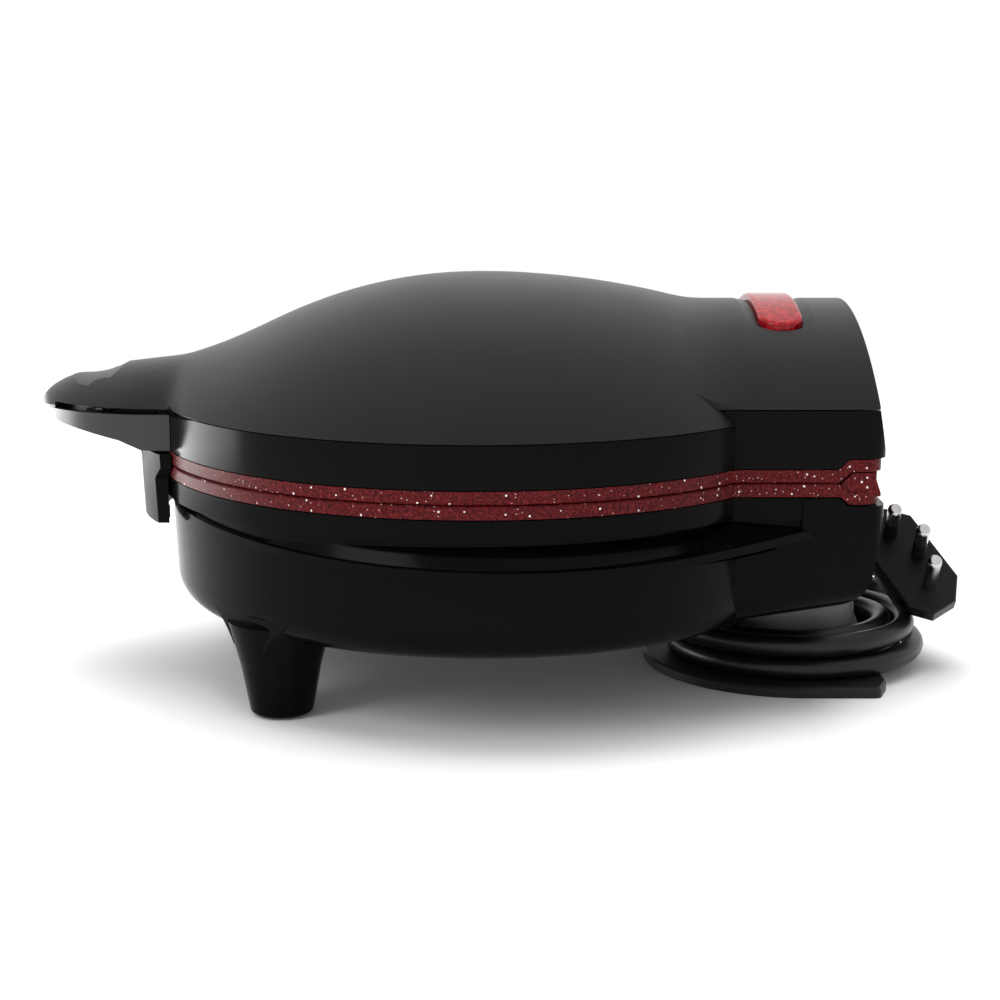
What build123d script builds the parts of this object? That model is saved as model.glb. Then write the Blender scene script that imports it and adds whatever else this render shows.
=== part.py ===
from build123d import *
import os
from math import acos, asin, atan2, cos, hypot, pi, radians, sin, sqrt, tan

# Sizes are millimetres. X runs across the appliance, Y from the handle to the hinge, Z up from
# the table. The round body's centre stands at X = Y = 0 until every piece is placed at the end.

# Plan of the body, shared by lid, plates and lower housing
lid_radius = 90.0
block_half_width = 60.0
block_rear = 107.0
block_corner_radius = 5.0
handle_half_width = 32.0
handle_length = 43.9
handle_centre_y = -81.5

# Heights
lower_plate_top = 63.3
upper_plate_bottom = 63.6
flange_thickness = 3.4
plate_bevel = 0.4
seat_gap = 0.3
crease_height = 78.7
block_crease_height = 82.9
block_top_height = 105.9
dome_top_height = 113.5
collar_bottom_height = 54.0
floor_height = 22.2

# Lid
rear_curve_radius = 236.0
block_blend_radius = 40.0
block_rear_round = 3.0
handle_blend = 12.0
handle_top_height = 89.2
handle_tip_drop = 12.2
handle_edge_share = 0.12
handle_parting_height = 77.5
handle_parting_slope = 0.012
handle_root_y = -75.0
cover_wall = 2.4
tip_start = 0.2
cover_seam = 0.3
spigot_bottom = 76.8
spigot_wall = 1.2
spigot_fit = 0.06
skirt_wall = 2.2
lid_rear_rake = 2.4
lid_rear_rake_top = 4.0
thumb_dish_arc = 82.0
thumb_dish_half_length = 9.2
thumb_dish_depth = 1.6
thumb_dish_y = -109.0
thumb_dish_tilt = 12.6
thumb_pad_radius = 14.0
thumb_pad_lift = 0.8
wedge_bottom_height = 67.2
wedge_points = [(-124.4, 75.4), (-119.8, 73.8), (-99.0, 69.7), (-92.6, wedge_bottom_height),
                (-70.0, wedge_bottom_height)]
wedge_inset = 0.5
wedge_wall = 2.0
wedge_gap = 0.15
wedge_seam = 0.25
handle_screw_x = 17.0
handle_screw_y = -106.0

# Lower housing
housing_wall = 2.2
bowl_top_radius = 89.8
bowl_floor_radius = 88.5
bowl_setback = 1.8
bowl_round = 9.0
neck_radius = 86.5
neck_side_inset = 1.4
neck_rear = 93.0
ledge_radius = 94.0
ledge_front_y = -86.0
ledge_end_y = 88.0
ledge_thickness = 2.3
ledge_rim = 1.5
ledge_curve = [(-86.0, 52.4), (17.0, 47.4), (88.0, 51.3)]
slope_top_height = 52.4
belly_start_y = 52.0
belly_slope = 0.151
housing_rear_foot = 102.6
housing_rear_round = 13.0
housing_step_height = 57.4
tray_start_y = 58.0
tray_top_front = 53.9
tray_top_rear = 51.4
side_rib = [(85.0, 49.6), (88.4, 49.6), (89.6, 59.5), (85.0, 59.5)]
side_rib_proud = 0.6

# Front legs and their pads
leg_x = 55.0
leg_y = -52.6
leg_foot_radius = 8.3
leg_mid_radius = 10.7
leg_mid_height = 13.5
leg_top_radius = 14.0
leg_flare_curve = [(12.6, 20.0), (15.4, 25.6), (25.0, 31.2)]
leg_wall = 2.4
pad_radius = 5.8
pad_height = 2.0
pad_proud = 0.5

# Rear stand with the cord post
stand_half_width = 42.4
stand_centre_y = 91.0
stand_rear = 113.7
stand_thickness = 3.0
stand_corner_x = 8.0
stand_corner_y = 3.0
stand_corner_round = 2.0
post_half_x = 20.0
post_half_y = 17.5
post_corner = 12.0
post_wall = 2.4
post_foot_radius = 21.3
post_foot_height = 9.0
post_flare_top = 18.0
post_rear_profile = [(114.0, 0.0), (114.0, 9.0), (108.5, 18.0), (103.2, 31.0)]
stand_screw_x = 11.0

# Plates
divider_width = 7.0
cavity_radius = 77.0
cavity_corner = 9.0
cavity_depth = 12.5
cavity_draft = 8.0
cavity_round = 3.5
pan_wall = 2.4
upper_tab_bottom = 66.6
lower_tab_top = 61.0
tab_thickness = 3.1
tab_start_y = 94.4
tab_step_length = 3.0
upper_tab_rear = 105.9
lower_tab_rear = 105.3
plate_boss_radius = 3.6
plate_boss_ring = 83.6
plate_boss_top = 71.8
lug_half_width = 5.0
lug_thickness = 2.8
support_boss_radius = 4.0

# Hinge
hinge_y = 103.0
hinge_z = 63.8
pin_radius = 1.2
pin_clearance = 0.06
ear_outer_x = 59.6
ear_width = 6.0
ear_gap = 0.5
ear_outline = [(95.2, 60.0), (95.2, 63.4), (98.0, 66.2), (103.5, 66.2), (105.3, 61.0), (105.3, 60.0)]
pin_end_cover = 1.6
knuckle_width = 9.0
knuckle_radius = 2.35

# Heating elements, shields and screws
element_radius = 3.0
element_ring = 50.0
element_open_angle = 40.0
element_bend = 9.0
element_leg = 3.5
element_boss_width = 11.0
element_boss_height = 3.0
terminal_pin_radius = 1.2
terminal_pin_length = 5.0
shield_thickness = 0.6
shield_radius = 72.0
shield_drop = 8.4
screw_radius = 1.4
screw_hole_radius = 1.46
screw_head_radius = 2.9
screw_head_height = 1.8
head_bore_radius = 3.3
support_points = [(56.3, -32.5), (46.0, 46.0)]
wire_holes = [(24.0, -18.0), (24.0, 18.0), (-24.0, -18.0), (-24.0, 18.0)]
wire_radius = 0.9
wire_bend = 2.4
housing_post_radius = 4.6

# Latch
latch_half_width = 30.0
latch_shoulder_half = 34.0
latch_front_y = -97.2
latch_front_radius = 62.0
latch_lean = 0.8
latch_lid_gap = 0.6
latch_nose_gap = 0.35
latch_top_gap = 0.6
latch_shoulder_height = 63.0
latch_waist_height = 59.5
latch_foot_height = 46.8
latch_nose_bottom = 48.4
latch_nose_top = 51.8
latch_pocket_low = 53.5
latch_pocket_high = 64.0
latch_wall = 2.3
latch_foot_round = 1.2
latch_neck_half = 18.0
latch_pivot_y = -94.6
latch_pivot_z = 73.4
latch_barrel_radius = 2.4
latch_pin_radius = 1.2
latch_slot_clearance = 0.6
latch_slot_reach = 99.8
latch_cheek = 2.4

# Pilot lamp
lens_y = 82.8
lens_half_length = 30.0
lens_half_width = 6.1
lens_proud = 1.4
lens_round = 1.2
lens_clearance = 0.2
lens_flange = 1.4
dish_half_length = 31.4
dish_half_width = 9.6
dish_depth = 1.2
pad_depth = 3.8

# Cord, winding and plug
cord_radius = 3.05
cord_slope = 35.0
lead_x = -38.2
lead_inside_height = 31.5
winding_outer = 38.2
winding_inner = 24.9
winding_turns = 3.944
winding_low = 6.15
winding_high = 12.75
tail_first_run = 21.0
gland_radius = 5.6
gland_collar = 1.6
gland_fit = 0.02
gland_start = 11.0
gland_collar_start = 21.6
gland_collar_end = 24.0
gland_taper = [(23.0, 5.4), (27.5, 5.0), (32.5, 4.5), (37.5, 4.0)]
plug_face = Vector(6.5, 124.6, 30.9)
plug_long = Vector(0.539, 0.512, -0.668)
plug_out = Vector(0.81, -0.10, 0.577)
plug_half_length = 17.4
plug_half_width = 8.75
plug_cut = 6.0
plug_front_depth = 6.0
plug_depth = 18.0
plug_back_radius = 6.4
contact_radius = 2.0
contact_core = 1.6
contact_length = 19.0
contact_pitch = 9.5
contact_offset = 3.0
sleeve_length = 10.5

pieces = {}


def disc_slab(sketch, low, high):
    return extrude(Pos(0, 0, low) * sketch, high - low)


def across(points, half_width):
    outline = make_face(Plane.YZ * Polyline(*points, close=True))
    return extrude(outline, half_width, both=True)


def tube(radius, low, high, x=0.0, y=0.0):
    return Pos(x, y, (low + high) / 2) * Cylinder(radius, high - low)


def rod(radius, low_x, high_x, y, z):
    return Pos((low_x + high_x) / 2, y, z) * Rot(0, 90, 0) * Cylinder(radius, high_x - low_x)


def box(low, high):
    size = [b - a for a, b in zip(low, high)]
    middle = [(a + b) / 2 for a, b in zip(low, high)]
    return Pos(*middle) * Box(*size)


def both_sides(shape):
    return shape + mirror(shape, Plane.YZ)


def block_sketch(inset=0.0, rear=block_rear):
    depth = rear - inset
    block = Pos(0, depth / 2) * Rectangle(2 * (block_half_width - inset), depth)
    corners = block.vertices().group_by(Axis.Y)[-1]
    return fillet(corners, max(block_corner_radius - inset, 1.0))


def body_sketch(inset=0.0, rear=block_rear):
    return Circle(lid_radius - inset) + block_sketch(inset, rear)


def handle_sketch(inset=0.0):
    return Pos(0, handle_centre_y) * Ellipse(handle_half_width - inset, handle_length - inset)


def round_path(points, radii):
    return FilletPolyline(*points, radius=radii)


def bend_radii(points):
    """Radius at each corner from the shorter run beside it."""
    radii = []
    for before, corner, after in zip(points, points[1:], points[2:]):
        first = Vector(*corner) - Vector(*before)
        second = Vector(*after) - Vector(*corner)
        turn = radians(first.get_angle(second))
        radii.append(0.45 * min(first.length, second.length) / tan(turn / 2))
    return radii


def hose(points, radius, name=""):
    radii = bend_radii(points)
    path = round_path(points, radii)
    if name:
        print(name, "bend radii", [round(r, 1) for r in radii], "length", round(path.length, 1))
    section = Plane(origin=path @ 0, z_dir=path % 0) * Circle(radius)
    return sweep(section, path=path)


def screw(x, y, head_z, tip_z):
    """A pan head at head_z and a shank to tip_z, in line with Z."""
    side = 1 if tip_z > head_z else -1
    head_top = head_z + side * screw_head_height
    head = tube(screw_head_radius, min(head_z, head_top), max(head_z, head_top), x, y)
    shank = tube(screw_radius, min(head_top, tip_z), max(head_top, tip_z), x, y)
    slot_low = min(head_z, head_z + side * 0.9)
    slot = box((x - 0.4, y - 2.2, slot_low), (x + 0.4, y + 2.2, slot_low + 0.9))
    cross = box((x - 2.2, y - 0.4, slot_low), (x + 2.2, y + 0.4, slot_low + 0.9))
    return head + shank - slot - cross


# Lid surface: arcs across the body whose crown follows the side view

def crown_height(y):
    rise = dome_top_height - crease_height
    front_radius = (lid_radius ** 2 + rise ** 2) / (2 * rise)
    radius = front_radius if y < 0 else rear_curve_radius
    dome = dome_top_height - radius + sqrt(max(radius ** 2 - y ** 2, 0))
    if y > 0:
        return dome
    reach = min(max((handle_centre_y - y) / handle_length, 0), 1)
    handle = handle_top_height - handle_tip_drop * (1 - sqrt(1 - reach ** 2))
    overlap = max(handle_blend - abs(dome - handle), 0)
    return max(dome, handle) + overlap ** 2 / (4 * handle_blend)


def edge_half_width(y):
    body = sqrt(max(lid_radius ** 2 - y ** 2, 0))
    handle = handle_half_width * sqrt(max(1 - ((y - handle_centre_y) / handle_length) ** 2, 0))
    return max(body, handle)


def parting_height(y):
    return handle_parting_height - handle_parting_slope * max(handle_centre_y - y, 0)


def edge_height(y):
    meeting_y = -sqrt(lid_radius ** 2 - handle_half_width ** 2)
    share = min(max((meeting_y + handle_blend - y) / (2 * handle_blend), 0), 1)
    parting = parting_height(y)
    handle = parting + handle_edge_share * (crown_height(y) - parting)
    return crease_height + share * (handle - crease_height)


def top_section(y):
    width = edge_half_width(y)
    rise = crown_height(y) - edge_height(y)
    radius = (width ** 2 + rise ** 2) / (2 * rise)
    half_angle = asin(min((width + 2.0) / radius, 1.0))
    side_x = radius * sin(half_angle)
    side_z = crown_height(y) - radius * (1 - cos(half_angle))
    low = floor_height + 20
    section = Plane(origin=(0, y, 0), x_dir=(1, 0, 0), z_dir=(0, -1, 0))
    arc = ThreePointArc((-side_x, side_z), (0, crown_height(y)), (side_x, side_z))
    sides = Polyline((side_x, side_z), (side_x, low), (-side_x, low), (-side_x, side_z))
    return section * make_face(arc + sides)


def dome_body():
    tip = handle_centre_y - handle_length
    handle_steps = [tip + tip_start, tip + 2.5, tip + 6, tip + 12, tip + 20, tip + 30, tip + 40]
    dome_steps = [-0.9, -0.82, -0.72, -0.58, -0.4, -0.2, 0.0, 0.2, 0.4, 0.58, 0.72, 0.83]
    return loft([top_section(y) for y in handle_steps + [lid_radius * s for s in dome_steps]])


arch_rise = block_top_height - block_crease_height
arch_radius = (block_half_width ** 2 + arch_rise ** 2) / (2 * arch_rise)


def arch_prism(lift=0.0, inset=0.0):
    """The hinge block's barrel top, run along Y from under the dome to the raked rear."""
    half = block_half_width - inset
    crown = block_top_height + lift
    edge = crown - arch_radius + sqrt(arch_radius ** 2 - half ** 2)
    arc = ThreePointArc((-half, edge), (0, crown), (half, edge))
    low = floor_height + 20
    sides = Polyline((half, edge), (half, low), (-half, low), (-half, edge))
    face = Plane(origin=(0, 40, 0), x_dir=(1, 0, 0), z_dir=(0, -1, 0)) * make_face(arc + sides)
    return extrude(face, -(block_rear - 40))


def rear_limit(inset=0.0):
    rear = block_rear - inset
    return across([(-140, 40), (rear, 40), (rear, 70.6), (rear - lid_rear_rake, 82.9),
                   (rear - lid_rear_rake_top, 120), (-140, 120)], 100)


dome = dome_body()
print("dome", dome.is_valid, round(dome.volume))
round_plan = disc_slab(Circle(lid_radius) + handle_sketch(), 40, 120)
round_plan_in = disc_slab(Circle(lid_radius - cover_wall) + handle_sketch(cover_wall), 40, 120)
dome_outer = dome & round_plan
arch_outer = arch_prism() & rear_limit() & disc_slab(block_sketch(), 40, 120)
arch_inner = arch_prism(-cover_wall, cover_wall) & rear_limit(cover_wall)
dome_inner = (Pos(0, 0, -cover_wall) * dome) & round_plan_in
top_edges = arch_outer.edges().filter_by(GeomType.CIRCLE).sort_by(Axis.Y)[-1:]
arch_rounded = fillet(top_edges, block_rear_round)
lid_form = dome_outer + arch_rounded
join_edges = [edge for edge in lid_form.edges().filter_by(GeomType.BSPLINE)
              if edge.center().Y < lens_y and edge.bounding_box().min.Z > block_crease_height - 1]
print("joins to blend", len(join_edges))
lid_form = fillet(join_edges, block_blend_radius)

below_block_crease = box((-70, 30, 40), (70, 120, block_crease_height)) - dome_outer
below_crease = disc_slab(Circle(120), 40, crease_height)
below_crease += across([(-140, 40), (handle_root_y, 40), (handle_root_y, crease_height),
                        (handle_centre_y, handle_parting_height), (-140, parting_height(-140))], 60)
shell = lid_form - (dome_inner + arch_inner)
shell = shell - below_crease - below_block_crease

# Locating ring that stands down from the cover inside the skirt, clear of the handle and hinge
spigot_out = lid_radius - skirt_wall - spigot_fit
ring = disc_slab(Circle(spigot_out) - Circle(spigot_out - spigot_wall), spigot_bottom, 79.6)
ring &= dome_outer
ring &= box((-95, -78, 70), (95, 58, 90))
cover = shell + ring
thumb_pad = tube(thumb_pad_radius, parting_height(thumb_dish_y) + thumb_pad_lift, 90, 0, thumb_dish_y)
cover += thumb_pad & dome_outer
dish_radius = (thumb_dish_half_length ** 2 + thumb_dish_depth ** 2) / (2 * thumb_dish_depth)
dish_ring = Rot(90, 0, 0) * Torus(thumb_dish_arc + dish_radius, dish_radius)
dish_ring = Rot(thumb_dish_tilt, 0, 0) * Pos(0, 0, -thumb_dish_depth - thumb_dish_arc) * dish_ring
dish_ring = Pos(0, thumb_dish_y, crown_height(thumb_dish_y)) * dish_ring
cover -= dish_ring & disc_slab(handle_sketch(), handle_parting_height, dome_top_height)

# Pilot lamp seat in the block top
lens_plan = Pos(0, lens_y) * SlotOverall(2 * lens_half_length, 2 * lens_half_width)
dish_plan = Pos(0, lens_y) * SlotOverall(2 * dish_half_length, 2 * dish_half_width)
seat_plan = offset(dish_plan, 1.4)
seat = (disc_slab(seat_plan, 90, 120) & arch_prism(-0.5)) - arch_prism(-pad_depth)
cover += seat
groove_radius = (dish_half_width ** 2 + dish_depth ** 2) / (2 * dish_depth)
groove = Torus(arch_radius - dish_depth + groove_radius, groove_radius)
groove = Pos(0, lens_y, block_top_height - arch_radius) * Rot(90, 0, 0) * groove
cover -= disc_slab(dish_plan, 90, 120) & groove
cover -= disc_slab(offset(lens_plan, lens_clearance), 90, 120)

# Posts in the handle that take its two screws
for x in (-handle_screw_x, handle_screw_x):
    post = tube(3.4, parting_height(handle_screw_y) + 0.2, 90, x, handle_screw_y) & dome_outer
    cover += post
    cover -= tube(screw_hole_radius, 70, parting_height(handle_screw_y) + 3.6, x, handle_screw_y)
print("cover", cover.is_valid, len(cover.solids()), round(cover.volume))
pieces["lid_cover"] = cover

lens = disc_slab(lens_plan, 90, 120) & arch_prism(lens_proud)
lens = fillet(lens.faces().sort_by(Axis.Z)[-1].edges(), lens_round)
lens -= arch_prism(-pad_depth - lens_flange)
flange = disc_slab(offset(lens_plan, 1.2), 90, 120) & arch_prism(-pad_depth - 0.05)
lens += flange - arch_prism(-pad_depth - lens_flange)
pieces["pilot_lens"] = lens

holder_plan = Pos(0, lens_y) * Rectangle(20, 9)
holder = disc_slab(holder_plan, 94, 120) & arch_prism(-pad_depth - lens_flange - 0.02)
lamp_z = 97.2
holder -= rod(2.52, -30, 30, lens_y, lamp_z)
holder -= box((-7, 70, 90), (7, 95, 99.0))
pieces["pilot_lamp_holder"] = holder
pieces["pilot_lamp"] = rod(2.5, -11, 11, lens_y, lamp_z) + rod(1.6, 11, 13, lens_y, lamp_z)

# Skirt under the cover, with the side and rear walls of the hinge block
skirt = disc_slab(body_sketch(), upper_plate_bottom, crease_height - cover_seam)
tall = disc_slab(block_sketch(), 70, block_crease_height - cover_seam)
tall -= Pos(0, 0, cover_seam) * dome_outer
tall &= box((-70, 55, 60), (70, 120, 90))
skirt = skirt + tall
skirt &= rear_limit()
skirt -= across([(handle_root_y, 120), (handle_root_y, crease_height - cover_seam),
                 (handle_centre_y, handle_parting_height - cover_seam),
                 (-140, parting_height(-140) - cover_seam), (-140, 120)], 100)
inner_plan = Circle(lid_radius - skirt_wall) + block_sketch(skirt_wall)
skirt -= disc_slab(inner_plan, 40, 120)
skirt_low = upper_plate_bottom + flange_thickness + seat_gap
upper_tab_top = upper_tab_bottom + tab_thickness
skirt -= across([(-100, 60), (-100, skirt_low), (tab_start_y - 0.4, skirt_low),
                 (tab_start_y + tab_step_length - 0.4, upper_tab_top + seat_gap),
                 (120, upper_tab_top + seat_gap), (120, 60)], 100)
lug_spots = [45, 135, 225, 315]
for angle in lug_spots:
    at = Rot(0, 0, angle)
    lug = at * box((plate_boss_ring - 4.4, -lug_half_width, plate_boss_top),
                   (lid_radius - 1.0, lug_half_width, plate_boss_top + lug_thickness))
    lug &= disc_slab(Circle(lid_radius - 1.0), 60, 90)
    skirt += lug
    skirt -= at * tube(screw_hole_radius, 60, 90, plate_boss_ring, 0)
print("skirt", skirt.is_valid, len(skirt.solids()), round(skirt.volume))
pieces["lid_skirt"] = skirt

# Handle underside, hollow, with two walls that carry the latch
handle_zone = Pos(0, -100) * Rectangle(100, 60)
skirt_side = lid_radius + wedge_gap
wedge_top = [(-140, parting_height(-140) - wedge_seam), (-75, parting_height(-75) - wedge_seam)]
wedge_low = list(reversed(wedge_points)) + [(-140, parting_height(-140) - 1)]
wedge_side = across(wedge_low + wedge_top, 60)
wedge_plan = (handle_sketch(wedge_inset) - Circle(skirt_side)) & handle_zone
wedge = wedge_side & disc_slab(wedge_plan, 50, 90)
inner_side = across([(y, z + wedge_wall) for y, z in wedge_low] + [(-140, 95), (-75, 95)], 60)
inner_plan = handle_sketch(wedge_inset + wedge_wall) - Circle(skirt_side + wedge_wall)
wedge -= inner_side & disc_slab(inner_plan & handle_zone, 50, 90)
neck_inner = skirt_side + wedge_wall + 2 * latch_slot_clearance
cheek_x = latch_neck_half + latch_slot_clearance
slot_plan = Pos(0, -latch_slot_reach / 2) * Rectangle(2 * cheek_x, latch_slot_reach)
slot_plan -= Circle(neck_inner - latch_slot_clearance)
wedge -= disc_slab(slot_plan, 50, latch_pivot_z + latch_barrel_radius)
for side in (-1, 1):
    low_x, high_x = sorted((side * cheek_x, side * (cheek_x + latch_cheek)))
    cheek = box((low_x, -latch_slot_reach - 2, 50), (high_x, -80, 90)) & wedge_side
    cheek &= disc_slab(wedge_plan, 50, 90)
    wedge += cheek
    boss = tube(screw_head_radius + 1, 50, parting_height(handle_screw_y) - 0.1,
                side * handle_screw_x, handle_screw_y)
    wedge += boss & wedge_side
    wedge -= tube(screw_hole_radius, 50, 90, side * handle_screw_x, handle_screw_y)
    wedge -= tube(head_bore_radius, 50, 74.6, side * handle_screw_x, handle_screw_y)
pin_end = cheek_x + latch_cheek
wedge -= rod(latch_pin_radius + 0.02, -pin_end - 0.1, pin_end + 0.1, latch_pivot_y, latch_pivot_z)
print("wedge", wedge.is_valid, len(wedge.solids()), round(wedge.volume))
pieces["handle_underside"] = wedge
pieces["handle_screws"] = Compound([
    screw(side * handle_screw_x, handle_screw_y, 72.8, 80.6) for side in (-1, 1)])
pieces["latch_pin"] = rod(latch_pin_radius, -pin_end, pin_end, latch_pivot_y, latch_pivot_z)

# Latch: a hollow lever with a rounded front that leans in, a neck and a barrel
latch_top_height = wedge_bottom_height - latch_top_gap
latch_centre_y = latch_front_y + latch_front_radius


def latch_front(inset, low, high):
    height = latch_top_height - latch_foot_height
    cone = Pos(0, latch_centre_y, latch_foot_height + height / 2) * Cone(
        latch_front_radius - latch_lean - inset, latch_front_radius - inset, height)
    return cone & box((-100, -110, low), (100, -60, high))


shoulder, waist = latch_shoulder_half, latch_half_width
half_view = [(0, latch_top_height), (shoulder, latch_top_height), (shoulder, latch_shoulder_height),
             (waist, latch_waist_height), (waist, latch_foot_height), (0, latch_foot_height)]
front_view = extrude(Plane.XZ * make_face(Polyline(*half_view, close=True)), 120, both=True)
lever = latch_front(0, latch_foot_height, latch_top_height) & both_sides(front_view)
pocket = latch_front(latch_wall, latch_pocket_low, latch_pocket_high)
pocket &= box((latch_wall - waist, -110, 40), (waist - latch_wall, -60, 90))
nose = lever - disc_slab(Circle(lid_radius + latch_nose_gap), 0, 120)
nose &= box((-100, -110, latch_nose_bottom), (100, -60, latch_nose_top))
latch = lever - pocket - disc_slab(Circle(lid_radius + latch_lid_gap), 0, 120)
latch += nose
neck_plan = (Pos(0, latch_centre_y) * Circle(latch_front_radius)) - Circle(neck_inner)
neck_plan &= Pos(0, -100) * Rectangle(2 * latch_neck_half, 80)
latch += disc_slab(neck_plan, latch_pocket_high, latch_pivot_z)
latch += rod(latch_barrel_radius, -latch_neck_half, latch_neck_half, latch_pivot_y, latch_pivot_z)
latch -= rod(latch_pin_radius + pin_clearance, -40, 40, latch_pivot_y, latch_pivot_z)
print("latch", latch.is_valid, len(latch.solids()), round(latch.volume))
pieces["latch"] = latch


# Plates: the lower one is built in place, the upper one mirrored over the parting plane

def cavity_sketch(grow=0.0):
    half = Circle(cavity_radius + grow)
    half &= Pos(100 + divider_width / 2 - grow, 0) * Rectangle(200, 200)
    corners = half.vertices()
    return fillet(corners, cavity_corner + grow)


pan_bottom = lower_plate_top - cavity_depth - pan_wall
element_z = pan_bottom - element_boss_height
shield_top = pan_bottom - shield_drop


def pan_pair():
    solid = extrude(Pos(0, 0, lower_plate_top - 0.6) * cavity_sketch(pan_wall),
                    -(lower_plate_top - 0.6 - pan_bottom), taper=cavity_draft)
    solid = fillet(solid.edges().group_by(Axis.Z)[0], cavity_round + 1.5)
    solid = both_sides(solid)
    ring_plan = Circle(element_ring + element_boss_width / 2)
    ring_plan -= Circle(element_ring - element_boss_width / 2)
    solid += disc_slab(ring_plan, element_z, lower_plate_top - flange_thickness + 0.5)
    return solid


def cavities():
    pocket = extrude(Pos(0, 0, lower_plate_top) * cavity_sketch(), -cavity_depth,
                     taper=cavity_draft)
    pocket = fillet(pocket.edges().group_by(Axis.Z)[0], cavity_round)
    return both_sides(pocket)


def element():
    """A ring with both ends turned away from the plate."""
    start = radians(90 - element_open_angle / 2)
    turn = Vector(-sin(start), cos(start), 0)
    end = Vector(element_ring * cos(start), element_ring * sin(start), element_z)
    down = Vector(0, 0, -1)
    middle = end + turn * (element_bend * sin(pi / 4)) + down * (element_bend * (1 - cos(pi / 4)))
    corner = end + turn * element_bend + down * element_bend
    foot = corner + down * element_leg
    flip = [Vector(-v.X, v.Y, v.Z) for v in (end, middle, corner, foot)]
    path = Wire([
        Line(flip[3], flip[2]).edge(),
        ThreePointArc(flip[2], flip[1], flip[0]).edge(),
        ThreePointArc(flip[0], (0, -element_ring, element_z), end).edge(),
        ThreePointArc(end, middle, corner).edge(),
        Line(corner, foot).edge()])
    body = sweep(Plane(origin=path @ 0, z_dir=path % 0) * Circle(element_radius), path=path)
    for side in (-1, 1):
        body += tube(terminal_pin_radius, foot.Z - terminal_pin_length, foot.Z, side * foot.X, foot.Y)
    return body, foot


heater, heater_foot = element()
groove = Pos(0, 0, element_z) * Torus(element_ring, element_radius + 0.02)
pan = pan_pair()
pockets = cavities()
print("pan", pan.is_valid, "pockets", pockets.is_valid, "heater", heater.is_valid)


def support_list():
    return [(side * x, y) for x, y in support_points for side in (-1, 1)]


def plate_body(profile, rear, meeting):
    """The flange, with a small bevel all round on the face that meets the other plate."""
    body = across(profile, 100) & disc_slab(body_sketch(0.0, rear), 40, 90)
    rim = [edge for edge in body.edges() if abs(edge.center().Z - meeting) < 0.01
           and edge.center().Y < tab_start_y - 1]
    return chamfer(rim, plate_bevel)


flange_low = lower_plate_top - flange_thickness
lower_tab_bottom = lower_tab_top - tab_thickness
lower_profile = [(-100, lower_plate_top), (tab_start_y, lower_plate_top),
                 (tab_start_y + 2.4, lower_tab_top), (lower_tab_rear, lower_tab_top),
                 (lower_tab_rear, lower_tab_bottom), (tab_start_y + 2.8, lower_tab_bottom),
                 (tab_start_y + 0.4, flange_low), (-100, flange_low)]
lower = plate_body(lower_profile, lower_tab_rear, lower_plate_top)
lower += pan
lower -= pockets
lower -= groove
for x, y in support_list():
    lower += tube(support_boss_radius, shield_top, pan_bottom + 1, x, y)
    lower -= tube(screw_hole_radius, shield_top - 1, pan_bottom - 0.4, x, y)
ear = across(ear_outline, ear_width / 2)
pin_outer_x = ear_outer_x - pin_end_cover
ear_middle = ear_outer_x - ear_width / 2
for side in (-1, 1):
    lower += Pos(side * ear_middle, 0, 0) * ear
lower -= rod(pin_radius + 0.02, -pin_outer_x, pin_outer_x, hinge_y, hinge_z)
print("lower", lower.is_valid, len(lower.solids()), round(lower.volume))
pieces["lower_plate"] = lower

parting = (lower_plate_top + upper_plate_bottom) / 2
flange_high = upper_plate_bottom + flange_thickness
upper_profile = [(-100, upper_plate_bottom), (tab_start_y, upper_plate_bottom),
                 (tab_start_y + tab_step_length, upper_tab_bottom),
                 (upper_tab_rear, upper_tab_bottom), (upper_tab_rear, upper_tab_top),
                 (tab_start_y + tab_step_length - 0.4, upper_tab_top),
                 (tab_start_y - 0.4, flange_high), (-100, flange_high)]
over = Plane.XY.offset(parting)
upper = plate_body(upper_profile, upper_tab_rear, upper_plate_bottom)
upper += mirror(pan, over)
upper -= mirror(pockets, over)
upper -= mirror(groove, over)
for x, y in support_list():
    boss = tube(support_boss_radius, shield_top, pan_bottom + 1, x, y)
    boss -= tube(screw_hole_radius, shield_top - 1, pan_bottom - 0.4, x, y)
    upper += mirror(boss, over)
for angle in lug_spots:
    upper += Rot(0, 0, angle) * tube(plate_boss_radius, flange_high - 1, plate_boss_top,
                                     plate_boss_ring, 0)
    upper -= Rot(0, 0, angle) * tube(screw_hole_radius, upper_plate_bottom + 0.8, 90,
                                     plate_boss_ring, 0)
knuckle_high = ear_outer_x - ear_width - ear_gap
knuckle_low = knuckle_high - knuckle_width
for side in (-1, 1):
    low_x, high_x = sorted((side * knuckle_low, side * knuckle_high))
    upper += rod(knuckle_radius, low_x, high_x, hinge_y, hinge_z)
    upper += box((low_x, hinge_y - knuckle_radius, hinge_z),
                 (high_x, hinge_y + knuckle_radius, upper_tab_bottom + 0.5))
upper -= rod(pin_radius + pin_clearance, -70, 70, hinge_y, hinge_z)
print("upper", upper.is_valid, len(upper.solids()), round(upper.volume))
pieces["upper_plate"] = upper
pieces["hinge_pins"] = Compound([
    rod(pin_radius, min(side * knuckle_low, side * pin_outer_x),
        max(side * knuckle_low, side * pin_outer_x), hinge_y, hinge_z) for side in (-1, 1)])

pieces["lower_heating_element"] = heater
pieces["upper_heating_element"] = mirror(heater, over)

shield = tube(shield_radius, shield_top - shield_thickness, shield_top)
shield -= box((-heater_foot.X - 5, heater_foot.Y - 5, 20), (heater_foot.X + 5, heater_foot.Y + 5, 60))
for x, y in wire_holes:
    shield -= tube(2.0, 20, 60, x, y)
for x, y in support_list():
    shield -= tube(screw_hole_radius, 20, 60, x, y)
pieces["lower_heat_shield"] = shield
pieces["upper_heat_shield"] = mirror(shield, over)

# Lower housing
slope = Vector(0, 1, belly_slope).normalized()


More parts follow.
